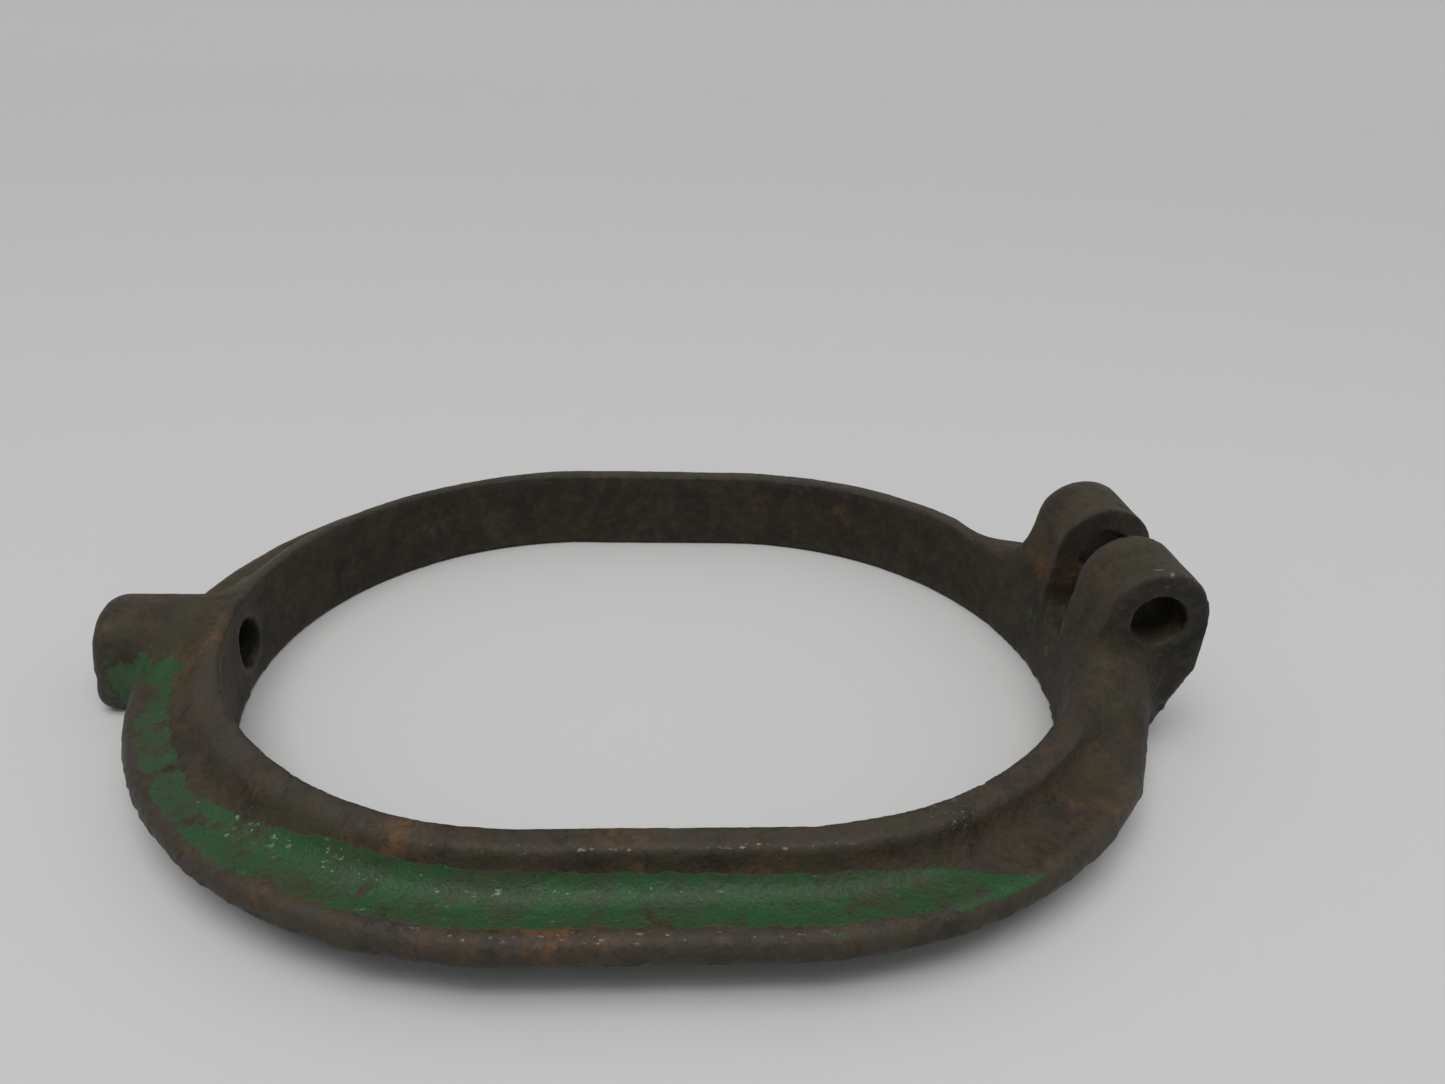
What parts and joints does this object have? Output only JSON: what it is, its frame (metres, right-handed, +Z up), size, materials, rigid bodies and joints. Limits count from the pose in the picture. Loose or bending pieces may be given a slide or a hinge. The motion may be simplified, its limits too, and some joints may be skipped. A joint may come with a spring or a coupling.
{
  "type": "oblong lifting ring",
  "caption": "One-piece cast iron oblong ring for hoist rigging, with a ribbed rim, a bored swivel boss at one end and an upright slotted clevis at the other.",
  "frame": {"origin": "centre of the bounding box's bottom, on the plane that the ring rests on", "axes": "+Z up through the opening, +X from the swivel boss to the clevis, +Y along the clevis pin"},
  "size_m": [0.28, 0.2118, 0.0511],
  "materials": {
    "weathered_iron": "rusted sand casting with remains of green paint"
  },
  "bodies": {
    "root": {"swivel_boss": "weathered_iron", "ring_front_side": "weathered_iron", "ring_back_side": "weathered_iron", "ring_front_boss_bend": "weathered_iron", "ring_back_boss_bend": "weathered_iron", "ring_front_clevis_bend": "weathered_iron", "ring_back_clevis_bend": "weathered_iron", "clevis_base": "weathered_iron", "clevis_lug_front": "weathered_iron", "clevis_lug_back": "weathered_iron"}
  },
  "joints": []
}
